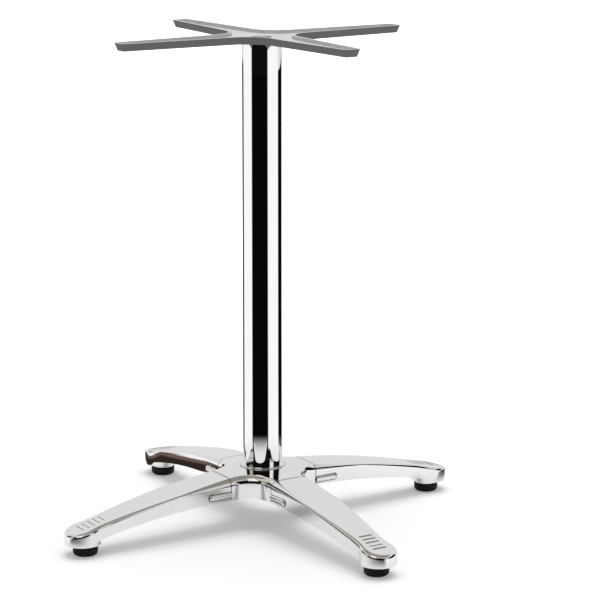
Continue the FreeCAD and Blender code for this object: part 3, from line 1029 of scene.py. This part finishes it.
@dataclass
class Hub:
    """Polished hub casting, with four concave crotches between the seams and a round seat."""

    seam: float = 73.0
    root_half: float = 31.5
    crotch_radius: float = 37.5
    shoulder: float = 10.5
    underside: float = 50.4
    seat_height: float = 87.4
    seat_radius: float = 32.0
    seat_round: float = 0.45
    seat_land: float = 2.0
    lip_foot: float = 0.15
    spigot_radius: float = 26.4
    seam_depth: float = 0.4
    wall_steps: int = 12
    shoulder_steps: int = 10
    deck_steps: int = 10
    crotch_steps: int = 44
    seam_steps: int = 10
    near_seam: tuple[tuple[float, float], ...] = (
        (73.0, 1.0), (72.6, 0.9), (71.5, 0.6), (70.2, 0.3),
    )

    def crotch_cuts(self) -> list[tuple[Vector, Vector, float]]:
        """Cuts along one crotch, from the first seam to the next.

        Returns:
            Each cut's place on the outline, its outward normal, and how far its section is turned
            square to the seam.
        """
        middle = self.root_half + self.crotch_radius
        half, cuts = self.root_half, []
        for x, square in self.near_seam:
            cuts.append((Vector((x, half, 0)), Vector((0, 1, 0)), square))
        for step in range(self.crotch_steps + 1):
            turn = math.radians(270 - 90 * step / self.crotch_steps)
            inward = Vector((math.cos(turn), math.sin(turn), 0))
            cuts.append((Vector((middle, middle, 0)) + inward * self.crotch_radius, -inward, 0.0))
        for x, square in reversed(self.near_seam):
            cuts.append((Vector((half, x, 0)), Vector((1, 0, 0)), square))
        return cuts

    def crotch_rows(self) -> list[list[Vector]]:
        """Rows of places from the lower edge up a crotch and over its shoulder."""
        columns = []
        for edge, outward, square in self.crotch_cuts():
            arc = shoulder_arc(edge, outward, self.shoulder, self.shoulder_steps, square)
            wall = []
            for step in range(self.wall_steps):
                z = self.underside + (arc[0].z - self.underside) * step / self.wall_steps
                wall.append(Vector((edge.x, edge.y, z)))
            columns.append(wall + arc)
        return [list(row) for row in zip(*columns)]

    def deck_rows(self, contacts: Sequence[Vector]) -> list[list[Vector]]:
        """Rows of places from the seat's middle out over its lip and across a quarter of the deck.

        Args:
            contacts: places where the crotch's shoulder meets the deck.
        """
        seam_ys = [contacts[0].y * step / self.seam_steps for step in range(self.seam_steps)]
        border = [Vector((self.seam, y, 0)) for y in seam_ys] + list(contacts)
        border += [Vector((y, self.seam, 0)) for y in reversed(seam_ys)]
        top, lip, edge = self.seat_height, self.seat_round, self.seat_radius
        foot = edge + self.lip_foot
        profile = [(self.spigot_radius, top), (edge - self.seat_land, top)]
        profile += reversed(rounded_corner((edge - lip, top - lip), lip, 0, 90, 4))
        profile += [(edge, DECK.height(edge) + self.lip_foot), (foot, DECK.height(foot))]
        headings = [Vector((spot.x, spot.y, 0)).normalized() for spot in border]
        rows = []
        for radius, height in profile:
            rows.append([heading * radius + Vector((0, 0, height)) for heading in headings])
        shares = [step / self.deck_steps for step in range(1, self.deck_steps)]
        shares += [1 - self.seam_depth / (self.seam - self.seat_radius), 1.0]
        starts = rows[-1]
        for share in shares:
            spots = [start.lerp(end, share) for start, end in zip(starts, border)]
            rows.append([on_deck(spot.x, spot.y) for spot in spots])
        return rows

    def shape(self) -> Shape:
        """Make the closed hub."""
        crotch = self.crotch_rows()
        quarter = bmesh.new()
        sweep(quarter, crotch)
        sweep(quarter, self.deck_rows(crotch[-1]))
        shape = bmesh.new()
        mesh = bpy.data.meshes.new("quarter")
        for turn in LEG_TURNS:
            part = turned_copy(quarter, turn)
            part.to_mesh(mesh)
            part.free()
            shape.from_mesh(mesh)
        quarter.free()
        bpy.data.meshes.remove(mesh)
        bmesh.ops.remove_doubles(shape, verts=shape.verts, dist=NEAR_SPOT)

        def is_outer(centre: Vector) -> bool | None:
            """Tell a face of the deck or the seat, or one inside the seat, by its centre."""
            reach = math.hypot(centre.x, centre.y)
            if reach < self.seat_radius - 0.5:
                return reach > self.spigot_radius + 0.4 and abs(centre.z - self.seat_height) < 0.1
            within = max(abs(centre.x), abs(centre.y)) < self.seam - ON_PLANE
            return True if within and centre.z > DECK.height(reach) - DECK_SKIN else None

        with_inside(shape, "base_hub", is_outer)
        # Painted shade at the foot of the seat's lip.
        corner = dirt_and_shade_layer(shape)
        lip_foot = DECK.height(self.seat_radius) + self.lip_foot + 0.01
        for vertex in shape.verts:
            reach = math.hypot(vertex.co.x, vertex.co.y)
            if abs(reach - self.seat_radius) < 0.3 and self.underside < vertex.co.z < lip_foot:
                vertex[corner] = SOFT_DIRT_AND_SHADE
        line = [row[0] for row in crotch]
        shares = [1 - step / self.seam_steps for step in range(1, self.seam_steps + 1)]
        line += [on_deck(self.seam, line[-1].y * share) for share in shares]
        quarter_turn = Matrix.Rotation(math.pi / 2, 3, "Z")
        for _ in LEG_TURNS:
            draw_in_seam(shape, line, self.seam, self.seam_depth)
            bmesh.ops.rotate(shape, verts=shape.verts, matrix=quarter_turn)
        return shape

    def build(self, palette: Palette) -> None:
        """Build the hub."""
        placed(self.shape(), "polished_hub", BODY, Slot.POLISHED, "base_hub", palette)


@dataclass
class Column:
    """Bright plated round tube between the hub's seat and the cross plate."""

    radius: float = 28.5
    wall: float = 2.0
    bottom: float = 87.4
    top: float = 709.0
    edge_round: float = 0.5
    steps: int = 160

    def build(self, palette: Palette) -> None:
        """Spin the tube's wall around the axis."""
        inner, edge = self.radius - self.wall, self.edge_round
        outline = [(inner, self.bottom)]
        outline += rounded_corner((self.radius - edge, self.bottom + edge), edge, -90, 0, 4)
        length = self.top - self.bottom
        outline += [(self.radius, self.bottom + share * length) for share in (0.1, 0.5, 0.9)]
        outline += rounded_corner((self.radius - edge, self.top - edge), edge, 0, 90, 4)
        outline += [(inner, self.top)]
        tube = spun(outline, 0.0, self.steps, ring=True)
        placed(tube, "plated_column", BODY, Slot.CHROME, "column_tube", palette)


@dataclass
class Glides:
    """Four levelling glides: a moulded foot under a bright disc on a threaded stud."""

    reach: float = 296.0
    radius: float = 17.9
    height: float = 13.4
    lower_round: float = 5.5
    upper_round: float = 0.6
    neck_radius: float = 5.15
    socket_radius: float = 8.15
    socket_bottom: float = 3.85
    socket_top: float = 7.65
    disc_bottom: float = 13.55
    disc_radius: float = 17.0
    disc_thickness: float = 2.0
    disc_bore: float = 5.05
    disc_round: float = 0.8
    disc_lower_edge: float = 0.2
    steps: int = 72

    def foot(self) -> Shape:
        """Spin the moulded foot, with the socket that holds the stud's flange."""
        low, edge = self.lower_round, self.upper_round
        outline = [(0.0, 0.0), (self.radius - low, 0.0)]
        outline += rounded_corner((self.radius - low, low), low, -90, 0, 10)[1:]
        outline += rounded_corner((self.radius - edge, self.height - edge), edge, 0, 90, 4)
        outline += [
            (self.neck_radius, self.height), (self.neck_radius, self.socket_top),
            (self.socket_radius, self.socket_top), (self.socket_radius, self.socket_bottom),
            (0.0, self.socket_bottom),
        ]
        return spun(outline, self.reach, self.steps)

    def disc(self) -> Shape:
        """Spin the bright disc, its upper edge rounded over."""
        top, edge = self.disc_bottom + self.disc_thickness, self.disc_round
        low = self.disc_lower_edge
        outline = [(self.disc_bore, self.disc_bottom), (self.disc_radius - low, self.disc_bottom)]
        outline += [(self.disc_radius, self.disc_bottom + low)]
        outline += rounded_corner((self.disc_radius - edge, top - edge), edge, 0, 90, 5)
        outline += [(self.disc_bore, top)]
        return spun(outline, self.reach, self.steps, ring=True)

    def build(self, palette: Palette) -> None:
        """Build the feet and discs of the four glides."""
        makers = (
            ("moulded_foot", self.foot, "glide_foot", Slot.FOOT, "glide_pad"),
            ("bright_disc", self.disc, "glide_screw", Slot.CHROME, "glide_disc"),
        )
        for name, make, body, slot, node in makers:
            shape = make()
            for number, turn in enumerate(LEG_TURNS, 1):
                copy = turned_copy(shape, turn)
                stands_for = f"{node}_{number}"
                placed(copy, f"{name}_{number}", f"{body}_{number}", slot, stands_for, palette)
            shape.free()


@dataclass
class CrossPlate:
    """Cast cross plate with softened edges, and painted shade on faces that turn away from upright.
    """

    edge_round: float = 0.5
    flat_angle: float = 0.5
    edge_angle: float = 40.0
    underside: float = 709.0
    top_slope: float = 0.9
    trough_shade: float = 0.3

    def build(self, palette: Palette) -> None:
        """Round the sharp edges of a merged copy of the node."""
        shape = merged_node("top_spider")
        bmesh.ops.dissolve_limit(
            shape, angle_limit=math.radians(self.flat_angle), verts=shape.verts, edges=shape.edges,
            use_dissolve_boundaries=False,
        )
        shape.normal_update()
        corners = [
            edge for edge in shape.edges
            if edge.is_manifold and edge.calc_face_angle(0.0) > math.radians(self.edge_angle)
            and max(vertex.co.z for vertex in edge.verts) > self.underside - 1
        ]
        bmesh.ops.bevel(
            shape, geom=corners, offset=self.edge_round, offset_type="OFFSET", segments=2,
            profile=0.5, affect="EDGES", clamp_overlap=True, material=-1,
        )
        bmesh.ops.triangulate(shape, faces=[face for face in shape.faces if len(face.verts) > 4])
        put_in_order(shape)
        # Painted shade: full on faces turned down, less on upward trough walls, none beside faces
        # near upright.
        side_shade = dirt_and_shade_layer(shape)
        shape.normal_update()
        for vertex in shape.verts:
            vertex[side_shade] = self.trough_shade if vertex.normal.z > 0.0 else 1.0
            if any(face.normal.z > self.top_slope for face in vertex.link_faces):
                vertex[side_shade] = 0.0
        placed(shape, "cast_cross_plate", BODY, Slot.CAST, "top_spider", palette)


# Studio


@dataclass(frozen=True)
class Panel:
    """Soft-edged part of the studio that metal reflects. Its angles are in degrees.

    The sides are two bearings and the softness of both. It fades in over the heights of its foot,
    and out over the heights of its top, where it has one.
    """

    sides: tuple[float, float, float]
    foot: tuple[float, float]
    top: tuple[float, float] | None = None
    tone: float = 1.0

    def mask(self, layout: NodeLayout, bearing: Socket, height: Socket) -> Socket:
        """Where the panel is, from 0 to 1."""
        upright = layout.ramp(height, *self.foot)
        if self.top is not None:
            upright = layout.minus(upright, layout.ramp(height, *self.top))
        return layout.times(layout.band(bearing, *self.sides), upright)


# Warm walls at the right, far left, near left and in front.
WALLS = (
    Panel((57, 77, 3), (2, 5), tone=0.42),
    Panel((-116, -100, 4), (24, 34), tone=0.42),
    Panel((-86, -62, 3), (13, 17), tone=0.42),
    Panel((-104, 60, 4), (30, 38), tone=0.58),
)
BRIGHT_STRIP = Panel((44, 66, 1.5), (10, 14), (27, 31), 0.92)
DARK_PANEL = Panel((70, 122, 3), (1, 5), (34, 38))
LOW_WALL = Panel((-126, -58, 3), (4.8, 6.2), (11.3, 12.7), 0.6)
# A bright part of the ceiling on the left, and the glow of a lamp in front.
LIGHTS = (
    Panel((-142, -50, 6), (42, 46), (59, 63), 0.66),
    Panel((-46, -6, 5), (19, 25), (59, 65)),
)


@dataclass
class Studio:
    """Camera, floor, lamp and surroundings. Lengths in metres, angles in degrees."""

    yaw: float = 32.0
    distance: float = 3.54738
    height: float = 1.10777
    pan: float = 0.883
    pitch: float = 12.316
    roll: float = 0.067
    lens: float = 150.24
    sensor: float = 36.0
    # Lamp.
    lamp_place: tuple[float, float, float] = (0.2, 0.1, 3.2)
    lamp_target: tuple[float, float, float] = (0.0, 0.0, 0.3)
    lamp_size: float = 2.5
    lamp_power: float = 64.0
    # Surroundings.
    ambient: float = 0.5
    darkest: float = 0.004
    front: tuple[float, float, float] = (-116, 78, 4)
    straight_behind: tuple[float, float] = (156, 164)
    backdrop_tone: float = 0.76
    backdrop_top: tuple[float, float] = (41, 46)
    backdrop_drop: float = 0.36
    sheet_sides: tuple[tuple[float, float, float], ...] = ((33.5, 105.5, 3), (-132, -61.5, 3))
    sheet_end: tuple[float, float] = (2, 5)
    ceiling: tuple[float, float] = (48, 54)
    ceiling_tone: float = 0.25
    overhead: tuple[float, float] = (66, 80)
    overhead_gain: float = 0.13
    warm_tint: Colour = (1.0, 0.93, 0.84)
    # Floor.
    floor_half: float = 8.0
    floor_drop: float = 0.0001
    floor_tone: float = 0.82
    floor_glow: float = 0.07
    near_floor: tuple[float, float] = (0.26, 0.47)
    toe_reach: float = 0.3
    toe_clearance: tuple[float, float] = (0.07, 0.11)
    floor_behind: tuple[float, float] = (148, 170)
    patch_across: tuple[float, float, float] = (-0.292, -0.236, 0.003)
    patch_along: tuple[float, float, float] = (0.13, 0.33, 0.01)
    patch_edge: tuple[float, float] = (-0.290, -0.284)
    patch_fade: tuple[float, float] = (-0.283, -0.268)
    patch_tones: tuple[float, float] = (0.15, 0.028)
    patch_tint: Colour = (1.0, 0.66, 0.54)
    darkest_floor: float = 0.002
    whitening: tuple[float, float] = (0.6, 1.6)
    least_whitening: float = 0.16

    def camera(self) -> None:
        """Place the camera at the photograph's viewing angle."""
        data = bpy.data.cameras.new("camera")
        data.lens = self.lens
        data.sensor_width = self.sensor
        data.clip_start = 0.1
        data.clip_end = 60.0
        camera = bpy.data.objects.new("camera", data)
        bpy.context.scene.collection.objects.link(camera)
        aligned = Matrix.Rotation(math.radians(-self.yaw), 4, "Z")
        camera.matrix_world = (
            aligned
            @ Matrix.Translation((0, -self.distance, self.height))
            @ Matrix.Rotation(math.radians(-self.pan), 4, "Z")
            @ Matrix.Rotation(math.radians(90 - self.pitch), 4, "X")
            @ Matrix.Rotation(math.radians(self.roll), 4, "Z")
        )
        bpy.context.scene.camera = camera

    def aligned_vector(self, layout: NodeLayout, source: Socket) -> Node:
        """Turn a vector so that -Y points from the base to the camera.

        Returns:
            A node with the turned X, Y and Z.
        """
        mapping = layout.add("ShaderNodeMapping")
        mapping.inputs["Rotation"].default_value = (0, 0, math.radians(self.yaw))
        layout.link(source, mapping.inputs["Vector"])
        parts = layout.add("ShaderNodeSeparateXYZ")
        layout.link(mapping.outputs["Vector"], parts.inputs["Vector"])
        return parts

    def bearing(self, layout: NodeLayout, parts: Node) -> Socket:
        """Direction around the base in degrees: 0 towards the camera, 90 to its right."""
        angle = layout.math("ARCTAN2", parts.outputs["X"], layout.times(parts.outputs["Y"], -1.0))
        return layout.times(angle, 180 / math.pi)

    def sheets(self, layout: NodeLayout, bearing: Socket) -> Socket:
        """Brightness of the pale sheets to the right and the left of the base."""
        return layout.plus(*(layout.band(bearing, *sides) for sides in self.sheet_sides))

    def panorama(
        self, layout: NodeLayout, bearing: Socket, height: Socket
    ) -> tuple[Socket, Socket]:
        """Draw the studio above the floor, as the metal sees it.

        Args:
            layout: the world's layout.
            bearing: direction around the base, in degrees.
            height: direction above the level, in degrees.

        Returns:
            The brightness, and a mask of its warm parts.
        """

        def tone_of(panel: Panel) -> Socket:
            """Brightness of one panel."""
            return layout.times(panel.mask(layout, bearing, height), panel.tone)

        # Pale backdrop behind the base, darker and warm where it meets the ceiling.
        behind = layout.ramp(layout.math("ABSOLUTE", bearing), *self.straight_behind)
        edge = layout.times(layout.ramp(height, *self.backdrop_top), behind)
        backdrop = layout.minus(self.backdrop_tone, layout.times(edge, self.backdrop_drop))
        level = layout.times(layout.minus(1.0, layout.band(bearing, *self.front)), backdrop)
        masks = [wall.mask(layout, bearing, height) for wall in WALLS]
        walls = [layout.times(mask, wall.tone) for mask, wall in zip(masks, WALLS)]
        level = layout.greatest(level, *walls, tone_of(BRIGHT_STRIP))
        level = layout.times(level, layout.minus(1.0, tone_of(DARK_PANEL)))
        # The pale sheets on the floor end at the level.
        below = layout.minus(1.0, layout.ramp(height, *self.sheet_end))
        sheets = layout.times(self.sheets(layout, bearing), below)
        level = layout.greatest(level, sheets, tone_of(LOW_WALL))
        ceiling = layout.ramp(height, *self.ceiling)
        overhead = layout.times(layout.ramp(height, *self.overhead), self.overhead_gain)
        level = layout.blend(ceiling, layout.plus(self.ceiling_tone, overhead), level)
        level = layout.greatest(level, *(tone_of(light) for light in LIGHTS))
        return level, layout.greatest(edge, ceiling, *masks)

    def surroundings(self) -> None:
        """Build the world: even light, white to the camera, and a studio that metal reflects."""
        world = bpy.data.worlds.new("studio")
        world.use_nodes = True
        bpy.context.scene.world = world
        layout = NodeLayout(world.node_tree)
        background = world.node_tree.nodes["Background"]
        place = layout.add("ShaderNodeTexCoord").outputs["Generated"]
        parts = self.aligned_vector(layout, place)
        height = layout.times(layout.math("ARCSINE", parts.outputs["Z"]), 180 / math.pi)
        studio, warm = self.panorama(layout, self.bearing(layout, parts), height)
        paths = layout.add("ShaderNodeLightPath")
        glossy = paths.outputs["Is Glossy Ray"]
        level = layout.blend(glossy, layout.plus(studio, self.darkest), self.ambient)
        strength = layout.blend(paths.outputs["Is Camera Ray"], 1.0, level)
        tint = layout.colour(layout.times(warm, glossy), WHITE, self.warm_tint)
        layout.link(tint, background.inputs["Color"])
        layout.link(strength, background.inputs["Strength"])

    def away_from_toes(self, layout: NodeLayout, place: Socket) -> Socket:
        """Mask of the floor that isn't close around one of the four toes."""
        sides = layout.add("ShaderNodeVectorMath", operation="ABSOLUTE")
        layout.link(place, sides.inputs[0])
        parts = layout.add("ShaderNodeSeparateXYZ")
        layout.link(sides.outputs["Vector"], parts.inputs["Vector"])
        along = layout.math("MAXIMUM", parts.outputs["X"], parts.outputs["Y"])
        aside = layout.math("MINIMUM", parts.outputs["X"], parts.outputs["Y"])
        reach = layout.minus(along, self.toe_reach)
        square = layout.plus(layout.times(reach, reach), layout.times(aside, aside))
        return layout.ramp(layout.math("SQRT", square), *self.toe_clearance)

    def mirrored_floor(self, layout: NodeLayout, parts: Node) -> tuple[Node, Socket]:
        """Draw the far floor as the metal sees it, with a brown patch beside the leg behind left.

        Args:
            layout: the floor's layout.
            parts: node with the place on the floor, -Y towards the camera.

        Returns:
            The shader, and a mask of the patch.
        """
        bearing = self.bearing(layout, parts)
        turned = layout.math("ABSOLUTE", bearing)
        behind = layout.times(layout.ramp(turned, *self.floor_behind), self.backdrop_tone)
        level = layout.math("MAXIMUM", self.sheets(layout, bearing), behind)
        patch = layout.times(
            layout.band(parts.outputs["X"], *self.patch_across),
            layout.band(parts.outputs["Y"], *self.patch_along),
        )
        stripe = layout.minus(
            layout.ramp(parts.outputs["X"], *self.patch_edge),
            layout.ramp(parts.outputs["X"], *self.patch_fade),
        )
        pale, dark = self.patch_tones
        level = layout.blend(patch, layout.plus(layout.times(stripe, pale), dark), level)
        shader = layout.add("ShaderNodeEmission")
        layout.link(layout.colour(patch, WHITE, self.patch_tint), shader.inputs["Color"])
        layout.link(layout.plus(level, self.darkest_floor), shader.inputs["Strength"])
        return shader, patch

    def floor_material(self) -> bpy.types.Material:
        """White floor that keeps soft shadows, and that metal sees as a sheet between panels."""
        material = bpy.data.materials.new("pale_floor")
        material.use_nodes = True
        tree = material.node_tree
        layout = NodeLayout(tree)
        tree.nodes.remove(tree.nodes["Principled BSDF"])
        output = tree.nodes["Material Output"]
        diffuse = layout.add("ShaderNodeBsdfDiffuse")
        diffuse.inputs["Color"].default_value = (*(self.floor_tone,) * 3, 1.0)
        paths = layout.add("ShaderNodeLightPath")
        place = layout.add("ShaderNodeTexCoord").outputs["Object"]
        length = layout.add("ShaderNodeVectorMath", operation="LENGTH")
        layout.link(place, length.inputs[0])
        far = layout.ramp(length.outputs["Value"], *self.near_floor)
        far = layout.times(far, self.away_from_toes(layout, place))
        mirrored, patch = self.mirrored_floor(layout, self.aligned_vector(layout, place))
        share = layout.times(layout.math("MAXIMUM", far, patch), paths.outputs["Is Glossy Ray"])
        # The camera sees the floor whiten with distance, until it is one with the background.
        white = layout.add("ShaderNodeEmission")
        lift = layout.ramp(length.outputs["Value"], *self.whitening)
        lift = layout.times(layout.plus(lift, self.least_whitening), paths.outputs["Is Camera Ray"])
        layout.link(layout.plus(lift, self.floor_glow), white.inputs["Strength"])
        plain = layout.add("ShaderNodeAddShader")
        layout.link(diffuse.outputs[0], plain.inputs[0])
        layout.link(white.outputs[0], plain.inputs[1])
        mixed = layout.add("ShaderNodeMixShader")
        layout.link(share, mixed.inputs[0])
        layout.link(plain.outputs[0], mixed.inputs[1])
        layout.link(mirrored.outputs[0], mixed.inputs[2])
        layout.link(mixed.outputs[0], output.inputs["Surface"])
        return material

    def floor(self) -> None:
        """Lay the floor just under the feet."""
        mesh = bpy.data.meshes.new("floor")
        shape = bmesh.new()
        bmesh.ops.create_grid(shape, x_segments=1, y_segments=1, size=self.floor_half)
        bmesh.ops.translate(shape, verts=shape.verts, vec=(0, 0, -self.floor_drop))
        shape.to_mesh(mesh)
        shape.free()
        floor = bpy.data.objects.new("floor", mesh)
        bpy.context.scene.collection.objects.link(floor)
        mesh.materials.append(self.floor_material())

    def lamp(self) -> None:
        """Hang one soft square lamp that faces the base."""
        data = bpy.data.lights.new("top_lamp", "AREA")
        data.shape = "SQUARE"
        data.size = self.lamp_size
        data.energy = self.lamp_power
        lamp = bpy.data.objects.new("top_lamp", data)
        bpy.context.scene.collection.objects.link(lamp)
        place = Vector(self.lamp_place)
        lamp.rotation_mode = "QUATERNION"
        lamp.location = place
        lamp.rotation_quaternion = (Vector(self.lamp_target) - place).to_track_quat("-Z", "Y")
        lamp.visible_glossy = False

    def build(self) -> None:
        """Set the whole stage."""
        bpy.context.scene.view_settings.view_transform = "Standard"
        self.camera()
        self.surroundings()
        self.floor()
        self.lamp()


def main() -> None:
    """Dress the frame, build the finer pieces and set the stage."""
    logging.basicConfig(level=logging.INFO, format="%(message)s")
    palette = Palette()
    palette.mix()
    palette.dress_frame()
    for sub_assembly in (Column(), Hub(), Legs(), Glides(), CrossPlate()):
        sub_assembly.build(palette)
    Studio().build()


if __name__ == "__main__":
    main()
